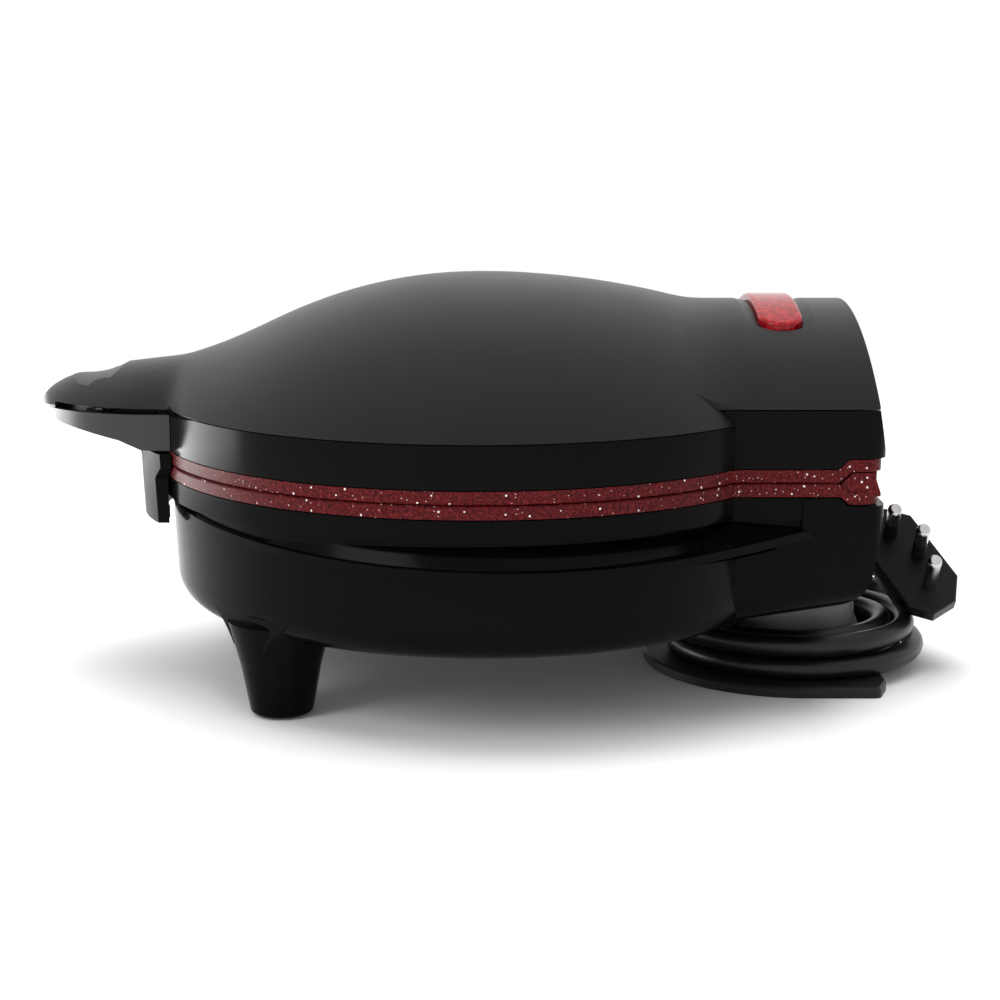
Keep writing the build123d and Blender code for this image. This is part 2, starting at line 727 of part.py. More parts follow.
def ledge_line(lift=0.0):
    return ThreePointArc(*[(y, z + lift) for y, z in ledge_curve])


def under_ledge(lift=0.0):
    """Everything below the ledge's curved line."""
    arc = Plane.YZ * ledge_line(lift)
    front, rear = ledge_curve[0], ledge_curve[-1]
    sides = Plane.YZ * Polyline((rear[0], rear[1] + lift), (125, rear[1] + lift + 4), (125, 0),
                                (-125, 0), (-125, front[1] + lift + 4), (front[0], front[1] + lift))
    return extrude(make_face(arc + sides), 110, both=True)


def bowl(inset=0.0):
    low = floor_height + inset
    height = collar_bottom_height - low
    body = Pos(0, bowl_setback, low + height / 2) * Cone(
        bowl_floor_radius - inset, bowl_top_radius - inset, height)
    return fillet(body.edges().sort_by(Axis.Z)[0], bowl_round - inset)


def block_low(inset=0.0):
    """Lower half of the hinge block with a rising belly and rounded lower edges."""
    half = block_half_width - inset
    profile = Pos(0, (150 + floor_height + inset) / 2) * Rectangle(2 * half, 150 - floor_height - inset)
    profile = fillet(profile.vertices().group_by(Axis.Y)[0], bowl_round - inset)
    start = belly_start_y - 12
    lift = -12 * belly_slope
    face = Plane(origin=(0, start, lift), x_dir=(1, 0, 0), z_dir=(0, -1, 0)) * profile
    body = extrude(face, 80, dir=(slope.X, slope.Y, slope.Z))
    foot_z = floor_height + inset
    heel_z = foot_z + (housing_rear_foot - inset - belly_start_y) * belly_slope
    belly = make_face(Polyline((start, 100), (start, foot_z), (belly_start_y, foot_z),
                               (housing_rear_foot - inset, heel_z),
                               (block_rear - inset, 56.3), (block_rear - inset, 100), close=True))
    heel = belly.vertices().sort_by_distance(Vertex(housing_rear_foot - inset, heel_z, 0))[0]
    belly = fillet(heel, housing_rear_round - inset)
    body &= extrude(Plane.YZ * belly, 70, both=True)
    return body & disc_slab(block_sketch(inset), 0, 100)


ledge_centre_y = ledge_front_y + ledge_radius
neck_half = block_half_width - neck_side_inset


def ledge_sketch():
    """Round in front, then straight on to the rib at each side of the block."""
    run_y = ledge_end_y - ledge_centre_y
    turn = atan2(run_y, block_half_width) - acos(ledge_radius / hypot(run_y, block_half_width))
    touch = (ledge_radius * cos(turn), ledge_centre_y + ledge_radius * sin(turn))
    wing = make_face(Polyline((0, touch[1]), touch, (block_half_width, ledge_end_y),
                              (0, ledge_end_y), close=True))
    return Pos(0, ledge_centre_y) * Circle(ledge_radius) + wing + mirror(wing, Plane.YZ)


def tray_side():
    """The ledge's inner slope where it runs out along the side of the block."""
    wide = sqrt(ledge_radius ** 2 - (tray_start_y - ledge_centre_y) ** 2) - ledge_rim
    front = [(50, 45.5), (wide, 48.6), (neck_half, tray_top_front), (50, tray_top_front)]
    rear = [(50, 48.0), (block_half_width - 0.5, 50.8), (neck_half, tray_top_rear),
            (50, tray_top_rear)]
    faces = []
    for y, points in ((tray_start_y, front), (ledge_end_y, rear)):
        plane = Plane(origin=(0, y, 0), x_dir=(1, 0, 0), z_dir=(0, -1, 0))
        faces.append(plane * make_face(Polyline(*points, close=True)))
    return loft(faces, ruled=True)


ledge_plan = ledge_sketch()
ledge_plan += Pos(0, bowl_setback) * Circle(bowl_top_radius - 0.3)
lower_form = bowl() + block_low()
outer = lower_form & under_ledge()
print("lower form", outer.is_valid, round(outer.volume))
lip = disc_slab(ledge_plan, 30, 60) & under_ledge()
lip -= under_ledge(-ledge_thickness)
lip &= across([(-100, 30), (100, 30), (100, 60), (-100, 60)], 100)
sloped = loft([Pos(0, ledge_centre_y, 46.0) * Circle(ledge_radius - ledge_rim),
               Pos(0, 1.0, slope_top_height) * Circle(neck_radius)])
neck = disc_slab(Circle(neck_radius), 44, collar_bottom_height + 1)
neck += disc_slab(block_sketch(neck_side_inset, neck_rear), 44, collar_bottom_height + 1)
collar_top = lower_plate_top - flange_thickness - seat_gap
collar = disc_slab(body_sketch(), collar_bottom_height, collar_top)
rear_part = block_low() & across([(85.4, 48), (88.6, collar_top), (130, collar_top), (130, 48)], 80)
outer = outer + lip + sloped + neck + collar + rear_part + both_sides(tray_side())
rib = across(side_rib, 2.0)
for side in (-1, 1):
    outer += Pos(side * (block_half_width + side_rib_proud - 2.0), 0, 0) * rib
outer -= across([(tab_start_y, collar_top + 5), (tab_start_y, collar_top),
                 (tab_start_y + 2.4, housing_step_height), (120, housing_step_height),
                 (120, collar_top + 5)], 80)
print("outer", outer.is_valid, len(outer.solids()), round(outer.volume))
inner = bowl(housing_wall) + block_low(housing_wall)
inner &= under_ledge(-housing_wall)
throat = disc_slab(Circle(neck_radius - housing_wall) + block_sketch(
    neck_side_inset + housing_wall, block_rear - neck_side_inset - 1.0), 44, 70)
inner += throat

for side in (-1, 1):
    foot = Pos(side * leg_x, leg_y, (pad_proud + leg_mid_height) / 2) * Cone(
        leg_foot_radius, leg_mid_radius, leg_mid_height - pad_proud)
    foot = fillet(foot.edges().sort_by(Axis.Z)[0], 1.4)
    thigh_height = floor_height + 4 - leg_mid_height
    thigh = Pos(side * leg_x, leg_y, leg_mid_height + thigh_height / 2) * Cone(
        leg_mid_radius, leg_top_radius, thigh_height)
    flare_low, flare_high = leg_flare_curve[0], leg_flare_curve[-1]
    flare_side = Polyline(flare_high, (0, flare_high[1]), (0, flare_low[1]), flare_low)
    flare = revolve(Plane.XZ * make_face(ThreePointArc(*leg_flare_curve) + flare_side), Axis.Z)
    flare = Pos(side * leg_x, leg_y, 0) * flare
    flare &= disc_slab(Pos(0, bowl_setback) * Circle(bowl_floor_radius), 0, flare_high[1])
    outer += foot + thigh + flare
    outer -= tube(pad_radius + 0.05, -1, pad_height, side * leg_x, leg_y)
    bore_low = pad_height + leg_wall
    bore_height = floor_height + 3 - bore_low
    inner += Pos(side * leg_x, leg_y, bore_low + bore_height / 2) * Cone(
        leg_foot_radius - leg_wall, leg_top_radius - leg_wall - 0.6, bore_height)
housing = outer - inner
print("housing", housing.is_valid, len(housing.solids()), round(housing.volume))
shield_low = shield_top - shield_thickness
for x, y in support_list():
    housing += tube(housing_post_radius, floor_height + 1, shield_low, x, y)
    housing -= tube(screw_hole_radius, floor_height - 1, shield_low + 1, x, y)
    housing -= tube(head_bore_radius, floor_height - 3, floor_height + 2.4, x, y)

# Cord path: inside the housing, down through the floor, then level to the winding
run = (lead_inside_height - winding_low) / tan(radians(cord_slope))
lead_end_y = stand_centre_y - 2 * cord_radius
lead_points = [(lead_x, -17.0, lead_inside_height), (lead_x, 43.0 - run, lead_inside_height),
               (lead_x, 43.0, winding_low), (lead_x, lead_end_y, winding_low)]
pieces["cord_lead"] = hose(lead_points, cord_radius, "cord_lead")
down = Vector(0, cos(radians(cord_slope)), -sin(radians(cord_slope)))
lead_path = round_path(lead_points, bend_radii(lead_points))
bend_length = bend_radii(lead_points)[0]
corner = Vector(*lead_points[1])
gland_plane = Plane(origin=corner + down * gland_start, z_dir=down)
collar_plane = Plane(origin=corner + down * gland_collar_start, z_dir=down)
gland = extrude(gland_plane * Circle(gland_radius), gland_collar_end - gland_start)
gland += extrude(collar_plane * Circle(gland_radius + gland_collar), gland_collar_end - gland_collar_start)
turn = radians(cord_slope)
before_slope = (corner - Vector(*lead_points[0])).length + bend_length * (turn - 2 * tan(turn / 2))
taper_faces = []
for along, radius in gland_taper:
    share = (before_slope + along) / lead_path.length
    at = Plane(origin=lead_path @ share, z_dir=lead_path % share)
    taper_faces.append(at * Circle(radius))
gland += loft(taper_faces)
gland -= sweep(Plane(origin=lead_path @ 0, z_dir=lead_path % 0) * Circle(cord_radius + gland_fit),
               path=lead_path)
pieces["cord_gland"] = gland
housing -= extrude(gland_plane * Circle(gland_radius + gland_fit), 14.0, both=True) & box(
    (-50, -10, 15), (-20, 60, 26))
housing -= extrude(collar_plane * Circle(gland_radius + gland_collar + gland_fit), 8.0)

# Clamp that holds the cord inside
clamp_y = -9.0
floor_in = floor_height + housing_wall
pedestal = box((lead_x - 10, clamp_y - 4, floor_in - 1), (lead_x + 10, clamp_y + 4,
                                                          lead_inside_height - 1.0))
pedestal -= Pos(lead_x, clamp_y, lead_inside_height) * Rot(90, 0, 0) * Cylinder(cord_radius + 0.02, 20)
housing += pedestal
clamp = box((lead_x - 10, clamp_y - 4, lead_inside_height - 0.9),
            (lead_x + 10, clamp_y + 4, lead_inside_height + cord_radius + 1.6))
clamp -= Pos(lead_x, clamp_y, lead_inside_height) * Rot(90, 0, 0) * Cylinder(cord_radius + 0.02, 20)
clamp_top = lead_inside_height + cord_radius + 1.6
clamp_screws = []
for side in (-1, 1):
    x = lead_x + side * 6.6
    clamp -= tube(screw_hole_radius, 20, 60, x, clamp_y)
    housing -= tube(screw_hole_radius, floor_in + 0.4, 60, x, clamp_y)
    clamp_screws.append(screw(x, clamp_y, clamp_top + screw_head_height, floor_in + 1.2))
pieces["cord_clamp"] = clamp
pieces["cord_clamp_screws"] = Compound(clamp_screws)

# Stand with the post, cut to the belly of the housing
stand_plan = Pos(0, stand_centre_y) * Circle(stand_half_width)
stand_plan &= Pos(0, stand_centre_y - stand_half_width) * Rectangle(200, 2 * stand_half_width)
wide, narrow = stand_half_width, stand_half_width - stand_corner_x
tail = make_face(Polyline((-wide, stand_centre_y), (-wide, stand_rear - stand_corner_y),
                          (-narrow, stand_rear), (narrow, stand_rear),
                          (wide, stand_rear - stand_corner_y), (wide, stand_centre_y), close=True))
rear_corners = [v for v in tail.vertices() if v.Y > stand_centre_y + 1]
stand_plan += fillet(rear_corners, stand_corner_round)
stand = disc_slab(stand_plan, 0, stand_thickness)
stand = chamfer(stand.edges().group_by(Axis.Z)[-1], 0.6)
post_plan = Pos(0, stand_centre_y) * RectangleRounded(2 * post_half_x, 2 * post_half_y, post_corner)
post = disc_slab(post_plan, 0, 40)
post += tube(post_foot_radius, 0, post_foot_height, 0, stand_centre_y)
flare_height = post_flare_top - post_foot_height
post += Pos(0, stand_centre_y, post_foot_height + flare_height / 2) * Cone(
    post_foot_radius, post_half_y - 0.5, flare_height)
post &= across([(50, 0)] + post_rear_profile + [(50, post_rear_profile[-1][1])], 60)
post -= disc_slab(offset(post_plan, -post_wall), stand_thickness, 45)
post -= lower_form
stand += post
for side in (-1, 1):
    column = tube(housing_post_radius, 0, 45, side * stand_screw_x, stand_centre_y)
    stand += column - lower_form
    stand -= tube(screw_hole_radius, -1, 45, side * stand_screw_x, stand_centre_y)
    stand -= tube(head_bore_radius, -1, 2.4, side * stand_screw_x, stand_centre_y)
    inside = tube(housing_post_radius, 26, 38, side * stand_screw_x, stand_centre_y) & lower_form
    housing += inside
    housing -= tube(screw_hole_radius, 20, 36.6, side * stand_screw_x, stand_centre_y)
print("stand", stand.is_valid, len(stand.solids()), round(stand.volume))
pieces["rear_stand"] = stand
pieces["rear_stand_screws"] = Compound([
    screw(side * stand_screw_x, stand_centre_y, 0.6, 36.0) for side in (-1, 1)])
print("housing", housing.is_valid, len(housing.solids()), round(housing.volume))
pieces["lower_housing"] = housing
pieces["front_foot_pads"] = Compound([
    tube(pad_radius, 0, pad_height, side * leg_x, leg_y) for side in (-1, 1)])

pieces["lower_plate_screws"] = Compound([
    screw(x, y, floor_height + 0.6, pan_bottom - 1.0) for x, y in support_list()])
upper_screws = []
for angle in lug_spots:
    x, y = plate_boss_ring * cos(radians(angle)), plate_boss_ring * sin(radians(angle))
    upper_screws.append(screw(x, y, plate_boss_top + lug_thickness + screw_head_height,
                              upper_plate_bottom + 1.4))
pieces["upper_plate_screws"] = Compound(upper_screws)

# Small parts between housing and plate
pieces["thermostat"] = tube(8.0, pan_bottom - 5.0, pan_bottom, 24, 0) + box(
    (20, -11, pan_bottom - 4.4), (28, 11, pan_bottom - 3.4))
fuse = Pos(-24, 0, pan_bottom - 2.0) * Rot(90, 0, 0) * Cylinder(2.0, 14)
fuse += Pos(-24, 0, pan_bottom - 2.0) * Rot(90, 0, 0) * Cylinder(0.6, 26)
pieces["thermal_fuse"] = fuse
block = box((lead_x - 10, -42, floor_in), (lead_x + 10, -28, floor_in + 9))
for side in (-1, 1):
    block -= tube(1.8, floor_in + 4, floor_in + 12, lead_x + side * 5, -35)
pieces["terminal_block"] = block
wire_z = floor_in + 5.0
fuse_z = pan_bottom - 2.0
tab_z = pan_bottom - 3.9
block_side = lead_x + 10.3
foot_x, foot_y = heater_foot.X, heater_foot.Y
wire_routes = [
    [(lead_x - 1.2, -17.6, lead_inside_height), (lead_x - 4, -27.4, wire_z)],
    [(lead_x + 1.2, -17.6, lead_inside_height), (lead_x + 4, -27.4, wire_z)],
    [(block_side, -38, wire_z), (24, -38, wire_z), (24, -18, wire_z + 3), (24, -18, tab_z),
     (24, -11.6, tab_z)],
    [(24, 11.6, tab_z), (24, 18, tab_z), (24, 18, 33), (foot_x, 36, 29), (foot_x, foot_y - 1.6, 29)],
    [(block_side, -33, wire_z), (-20, -33, wire_z), (-15, 10, wire_z), (-24, 18, 33),
     (-24, 18, fuse_z), (-24, 13.6, fuse_z)],
    [(-24, -13.6, fuse_z), (-24, -18, fuse_z), (-24, -18, 35), (-foot_x, 2, 32),
     (-foot_x, foot_y - 1.6, 29)]]


def wire(points):
    path = FilletPolyline(*points, radius=wire_bend) if len(points) > 2 else Line(*points)
    return sweep(Plane(origin=path @ 0, z_dir=path % 0) * Circle(wire_radius), path=path)


wires = [wire(route) for route in wire_routes]
pieces["base_wires"] = Compound(wires)
lid_foot_z = 2 * parting - heater_foot.Z + 2.5
lid_wires = [wire([(side * (foot_x + 2.4), foot_y, lid_foot_z),
                   (side * (foot_x + 8), foot_y + 12, lid_foot_z),
                   (side * 16, lens_y - 6, lamp_z), (side * 14.6, lens_y, lamp_z)])
             for side in (-1, 1)]
pieces["lid_wires"] = Compound(lid_wires)


# Winding: two layers round the post, in and out again at a steady rate

def winding_point(t):
    radius = winding_inner + abs(t - 2) * (winding_outer - winding_inner) / 2
    angle = pi - 2 * pi * t
    climb = min(max((t - 1.75) / 0.5, 0), 1)
    height = winding_low + (winding_high - winding_low) * (1 - cos(pi * climb)) / 2
    return Vector(radius * cos(angle), stand_centre_y + radius * sin(angle), height)


def biarc(start, heading, end, leaving):
    gap = end - start
    both = heading + leaving
    a = both.dot(both) - 4
    b = -2 * gap.dot(both)
    c = gap.dot(gap)
    reach = -c / b if abs(a) < 1e-9 else (-b - sqrt(b * b - 4 * a * c)) / (2 * a)
    first = start + heading * reach
    second = end - leaving * reach
    joint = (first + second) * 0.5
    arcs = []
    for p, q, r in ((start, first, joint), (joint, second, end)):
        chord = (p + r) * 0.5
        half = acos(min((r - p).length / (2 * (q - p).length), 1.0))
        rise = ((r - p).length / 2) * (1 - cos(half)) / sin(half)
        arcs.append(ThreePointArc(p, chord + (q - chord).normalized() * rise, r).edge())
    return arcs


def winding_heading(t):
    return (winding_point(t + 1e-4) - winding_point(t - 1e-4)).normalized()


steps = [winding_turns * k / 16 for k in range(17)]
knots = [winding_point(t) for t in steps]
headings = [winding_heading(t) for t in steps]
headings[0] = Vector(0, 1, 0)
end_angle = pi - 2 * pi * winding_turns
headings[-1] = Vector(sin(end_angle), -cos(end_angle), 0)
edges = [Line(knots[0] - headings[0] * (2 * cord_radius), knots[0]).edge()]
for k in range(16):
    edges += biarc(knots[k], headings[k], knots[k + 1], headings[k + 1])
winding_end = knots[-1] + headings[-1] * (2 * cord_radius)
edges.append(Line(knots[-1], winding_end).edge())
winding_path = Wire(edges)
section = Plane(origin=winding_path @ 0, z_dir=winding_path % 0) * Circle(cord_radius)
winding = sweep(section, path=winding_path)
samples = [winding_path @ (k / 1600) for k in range(1601)]
spacing = winding_path.length / 1600
least = min((samples[i] - samples[j]).length for i in range(0, 1601, 4)
            for j in range(i + int(40 / spacing), 1601, 2))
print("cord_winding length", round(winding_path.length, 1), "least gap to itself",
      round(least - 2 * cord_radius, 2), "volume share",
      round(winding.volume / (winding_path.length * pi * cord_radius ** 2), 4))
pieces["cord_winding"] = winding

plug_out = plug_out.normalized()
plug_back = plug_face - plug_out * plug_depth
tail_leave = winding_end + headings[-1] * tail_first_run
tail_arrive = plug_back - plug_out * ((plug_back.Z - winding_high) / plug_out.Z)
tail_points = [tuple(winding_end), tuple(tail_leave), (-41.6, 116.6, winding_high),
               (-32.4, 126.0, winding_high), tuple(tail_arrive), tuple(plug_back)]
pieces["cord_tail"] = hose(tail_points, cord_radius, "cord_tail")
print("tail points", [tuple(round(v, 2) for v in p) for p in tail_points])

face_plane = Plane(origin=plug_face, x_dir=plug_long, z_dir=plug_out)
long_half, wide_half = plug_half_length, plug_half_width
corner_points = [(-long_half, wide_half - plug_cut + 1), (-long_half + plug_cut, wide_half),
                 (long_half - plug_cut, wide_half), (long_half, wide_half - plug_cut + 1),
                 (long_half, -wide_half + plug_cut - 1), (long_half - plug_cut, -wide_half),
                 (-long_half + plug_cut, -wide_half), (-long_half, -wide_half + plug_cut - 1)]
plug_outline = make_face(Polyline(*corner_points, close=True))
front = extrude(face_plane * plug_outline, -plug_front_depth)
mid_plane = face_plane.offset(-plug_front_depth)
back_plane = face_plane.offset(-plug_depth)
small = [(x * plug_back_radius / long_half * 1.05, y * plug_back_radius / wide_half)
         for x, y in corner_points]
back = loft([mid_plane * plug_outline, back_plane * make_face(Polyline(*small, close=True))],
            ruled=True)
plug = front + back
plug = fillet(plug.faces().sort_by_distance(plug_face)[0].edges(), 0.8)
print("plug", plug.is_valid, round(plug.volume))
pieces["plug_body"] = plug
contacts = []
sleeves = []
for index, (along, aside) in enumerate([(-contact_pitch, 0), (0, contact_offset), (contact_pitch, 0)]):
    at = face_plane * Pos(along, aside, 0)
    if index < 2:
        core = at * Pos(0, 0, sleeve_length / 2 - 2) * Cylinder(contact_core, sleeve_length + 4)
        tip = at * Pos(0, 0, (sleeve_length + contact_length) / 2) * Cylinder(
            contact_radius, contact_length - sleeve_length)
        sleeve = Cylinder(contact_radius, sleeve_length) - Cylinder(contact_core + 0.01, 30)
        sleeves.append(at * Pos(0, 0, sleeve_length / 2) * sleeve)
    else:
        core = at * Pos(0, 0, -2) * Cylinder(contact_core, 4)
        tip = at * Pos(0, 0, contact_length / 2) * Cylinder(contact_radius, contact_length)
    plug -= at * Pos(0, 0, -2) * Cylinder(contact_core + 0.01, 4.02)
    tip = fillet(tip.edges().sort_by_distance(at.position + plug_out * contact_length)[0], 1.2)
    contacts.append(core + tip)
pieces["plug_body"] = plug
pieces["plug_pins"] = Compound(contacts)
pieces["plug_pin_sleeves"] = Compound(sleeves)

# Place everything: origin under the middle of the length, floor at the pads' underside
front_end = handle_centre_y - handle_length + tip_start
place = Pos(0, -(front_end + stand_rear) / 2, 0)
print("shift", -(front_end + stand_rear) / 2)
os.makedirs("parts", exist_ok=True)
for name, shape in pieces.items():
    placed = place * shape
    export_step(placed, "parts/" + name + ".step")
    size = placed.bounding_box()
    print(name, placed.is_valid, len(placed.solids()), round(placed.volume, 1),
          [round(v, 1) for v in tuple(size.min) + tuple(size.max)])
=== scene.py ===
import bpy
from math import cos, pi, radians, sin
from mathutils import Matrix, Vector


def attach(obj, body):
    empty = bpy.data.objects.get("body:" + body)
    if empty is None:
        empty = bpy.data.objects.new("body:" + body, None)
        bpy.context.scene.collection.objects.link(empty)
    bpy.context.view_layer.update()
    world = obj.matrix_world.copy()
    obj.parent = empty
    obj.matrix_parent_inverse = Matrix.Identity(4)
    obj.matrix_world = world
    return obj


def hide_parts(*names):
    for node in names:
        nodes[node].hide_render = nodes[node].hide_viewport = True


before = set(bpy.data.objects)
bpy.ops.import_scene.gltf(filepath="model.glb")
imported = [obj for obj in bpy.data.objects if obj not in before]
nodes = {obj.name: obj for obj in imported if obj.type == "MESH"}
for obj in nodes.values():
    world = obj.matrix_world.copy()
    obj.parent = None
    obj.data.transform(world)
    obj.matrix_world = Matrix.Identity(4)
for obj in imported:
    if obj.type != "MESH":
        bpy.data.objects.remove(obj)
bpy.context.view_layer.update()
print("frame loaded,", len(nodes), "nodes")


# small helpers for node materials

def newMaterial(name):
    mat = bpy.data.materials.new(name)
    mat.use_nodes = True
    tree = mat.node_tree
    return mat, tree, tree.nodes["Principled BSDF"]


def addNode(tree, kind, **values):
    node = tree.nodes.new(kind)
    for key, value in values.items():
        setattr(node, key, value)
    return node


def objectCoords(tree):
    return addNode(tree, "ShaderNodeTexCoord").outputs["Object"]


def noise(tree, coords, scale, detail=2.0, roughness=0.5):
    node = addNode(tree, "ShaderNodeTexNoise")
    node.inputs["Scale"].default_value = scale
    node.inputs["Detail"].default_value = detail
    node.inputs["Roughness"].default_value = roughness
    tree.links.new(coords, node.inputs["Vector"])
    return node.outputs["Fac"]


def cells(tree, coords, scale):
    node = addNode(tree, "ShaderNodeTexVoronoi", feature="F1")
    node.inputs["Scale"].default_value = scale
    tree.links.new(coords, node.inputs["Vector"])
    return node


def mathNode(tree, operation, first, second):
    node = addNode(tree, "ShaderNodeMath", operation=operation)
    for socket, value in zip(node.inputs, (first, second)):
        if isinstance(value, (int, float)):
            socket.default_value = value
        else:
            tree.links.new(value, socket)
    return node.outputs[0]


def ramp(tree, factor, stops):
    node = addNode(tree, "ShaderNodeValToRGB")
    elements = node.color_ramp.elements
    stops = list(stops)
    while len(elements) < len(stops):
        elements.new(0.5)
    for element, (place, color) in zip(elements, stops):
        element.position = place
        element.color = (*color, 1.0)
    tree.links.new(factor, node.inputs["Fac"])
    return node.outputs["Color"]


def spread(tree, factor, low, high):
    node = addNode(tree, "ShaderNodeMapRange")
    node.inputs["To Min"].default_value = low
    node.inputs["To Max"].default_value = high
    tree.links.new(factor, node.inputs["Value"])
    return node.outputs["Result"]


def mixColors(tree, factor, first, second):
    node = addNode(tree, "ShaderNodeMix", data_type="RGBA")
    tree.links.new(factor, node.inputs["Factor"])
    tree.links.new(first, node.inputs["A"])
    node.inputs["B"].default_value = (*second, 1.0)
    return node.outputs["Result"]


def bump(tree, height, strength, distance, shader):
    node = addNode(tree, "ShaderNodeBump")
    node.inputs["Strength"].default_value = strength
    node.inputs["Distance"].default_value = distance
    tree.links.new(height, node.inputs["Height"])
    tree.links.new(node.outputs["Normal"], shader.inputs["Normal"])


# camera at the photograph's place and angle

photoCamera = {"place": (0.572, 0.01169, 0.1599), "pitchDown": 11.132, "lens": 72.0, "sensor": 36.0,
               "clipStart": 0.01}

cameraData = bpy.data.cameras.new("photoCamera")
cameraData.lens = photoCamera["lens"]
cameraData.sensor_width = photoCamera["sensor"]
cameraData.clip_start = photoCamera["clipStart"]
cameraObject = bpy.data.objects.new("photoCamera", cameraData)
cameraObject.location = photoCamera["place"]
cameraObject.rotation_euler = (radians(90 - photoCamera["pitchDown"]), 0, radians(90))
bpy.context.scene.collection.objects.link(cameraObject)
bpy.context.scene.camera = cameraObject
print("camera set")

# mains cord: out of the floor, two layers round the post, up into the plug

cordLook = {
    "diameter": 0.0061, "length": 0.970, "outerRadius": 0.0382, "innerRadius": 0.0249,
    "turns": 3.944, "pointsPerTurn": 16, "low": 0.00615, "high": 0.01275, "centreY": 0.09675,
    "cornerPull": 1.013, "layerTurns": 2, "climbStart": 1.75, "climbTurns": 0.5,
    "curveOrder": 3, "curveSteps": 6, "roundSteps": 6,
}
leadPoints = [(-0.0382, -0.01125, 0.0315), (-0.0382, 0.01255, 0.0315), (-0.0382, 0.04875, 0.00615)]
tailPoints = [(-0.04485, 0.10915, 0.01275), (-0.0416, 0.12235, 0.01275), (-0.0324, 0.13175, 0.01275),
              (-0.01898, 0.1335, 0.01275), (-0.00809, 0.13215, 0.02051)]


def windingPoints(look):
    # in on the lower layer, up one step, out again on the upper layer
    points = []
    count = round(look["turns"] * look["pointsPerTurn"])
    reach = look["outerRadius"] - look["innerRadius"]
    rise = look["high"] - look["low"]
    for step in range(count + 1):
        t = look["turns"] * step / count
        radius = look["innerRadius"] + abs(t - look["layerTurns"]) * reach / look["layerTurns"]
        radius *= look["cornerPull"]
        angle = pi - 2 * pi * t
        climb = min(max((t - look["climbStart"]) / look["climbTurns"], 0), 1)
        height = look["low"] + rise * (1 - cos(pi * climb)) / 2
        points.append((radius * cos(angle), look["centreY"] + radius * sin(angle), height))
    return points


def nurbsCord(name, points, look):
    # the points carry the thickness, so that the curve's box is the cord's own
    curve = bpy.data.curves.new(name, "CURVE")
    curve.dimensions = "3D"
    spline = curve.splines.new("NURBS")
    spline.points.add(len(points) - 1)
    for point, place in zip(spline.points, points):
        point.co = (*place, 1.0)
        point.radius = look["diameter"] / 2
    spline.order_u = look["curveOrder"]
    spline.use_endpoint_u = True
    spline.resolution_u = look["curveSteps"]
    curve.bevel_depth = 1.0
    curve.bevel_resolution = look["roundSteps"]
    curve.use_fill_caps = True
    cord = bpy.data.objects.new(name, curve)
    bpy.context.scene.collection.objects.link(cord)
    return cord


mainsCord = nurbsCord("mainsCord", leadPoints + windingPoints(cordLook) + tailPoints, cordLook)
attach(mainsCord, "base")
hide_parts("cord_lead", "cord_winding", "cord_tail")
print("cord laid")

# moulded plastics: slight colour drift, uneven gloss and a fine moulded grain

driftDetail = 3.0
driftStops = (0.3, 0.7)
cloudRatio = 4
cloudDetail = 4.0

coverLook = {"dark": (0.0030, 0.0030, 0.0032), "light": (0.0056, 0.0056, 0.0059), "driftScale": 14.0,
             "gloss": (0.30, 0.38), "grainScale": 2600.0, "grainStrength": 0.22, "grainDepth": 0.00005,
             "specular": 0.21}
shellLook = {"dark": (0.0012, 0.0012, 0.0014), "light": (0.0025, 0.0025, 0.0027), "driftScale": 10.0,
             "gloss": (0.12, 0.19), "grainScale": 420.0, "grainStrength": 0.03, "grainDepth": 0.00008,
             "specular": 0.045}
latchLook = {"dark": (0.0018, 0.0018, 0.0020), "light": (0.0034, 0.0034, 0.0036), "driftScale": 18.0,
             "gloss": (0.30, 0.40), "grainScale": 900.0, "grainStrength": 0.10, "grainDepth": 0.00005,
             "specular": 0.04}
skirtLook = {"dark": (0.0014, 0.0014, 0.0016), "light": (0.0030, 0.0030, 0.0032), "driftScale": 12.0,
             "gloss": (0.16, 0.24), "grainScale": 700.0, "grainStrength": 0.06, "grainDepth": 0.00006,
             "specular": 0.06}
wedgeLook = {"dark": (0.012, 0.012, 0.013), "light": (0.020, 0.020, 0.021), "driftScale": 20.0,
             "gloss": (0.26, 0.34), "grainScale": 1500.0, "grainStrength": 0.10, "grainDepth": 0.00005,
             "specular": 0.5}
# rear post: grey satin, its colour raised lighter to carry a painted reflection of the floor
postSatinAndSheenLook = {"dark": (0.165, 0.165, 0.165), "light": (0.215, 0.215, 0.215), "driftScale": 30.0,
            "gloss": (0.40, 0.50), "grainScale": 1500.0, "grainStrength": 0.15, "grainDepth": 0.00005,
            "specular": 0.25, "lowColor": (0.012, 0.012, 0.013), "lowTop": 0.0032, "fadeTop": 0.0080}
cordRubberLook = {"dark": (0.0028, 0.0028, 0.0030), "light": (0.0060, 0.0060, 0.0062), "driftScale": 60.0,
                  "gloss": (0.30, 0.40), "grainScale": 1800.0, "grainStrength": 0.12, "grainDepth": 0.00004,
                  "specular": 0.30}
footRubberLook = {"dark": (0.010, 0.010, 0.010), "light": (0.018, 0.018, 0.018), "driftScale": 60.0,
                  "gloss": (0.55, 0.70), "grainScale": 1500.0, "grainStrength": 0.25, "grainDepth": 0.00006,
                  "specular": 0.25}
plugLook = {"dark": (0.0030, 0.0030, 0.0032), "light": (0.0075, 0.0075, 0.0078), "driftScale": 90.0,
            "gloss": (0.36, 0.46), "grainScale": 1300.0, "grainStrength": 0.45, "grainDepth": 0.00010,
            "specular": 0.20}
blockLook = {"dark": (0.58, 0.55, 0.47), "light": (0.68, 0.65, 0.57), "driftScale": 60.0,
             "gloss": (0.40, 0.50), "grainScale": 900.0, "grainStrength": 0.10, "grainDepth": 0.00005,
             "specular": 0.5}
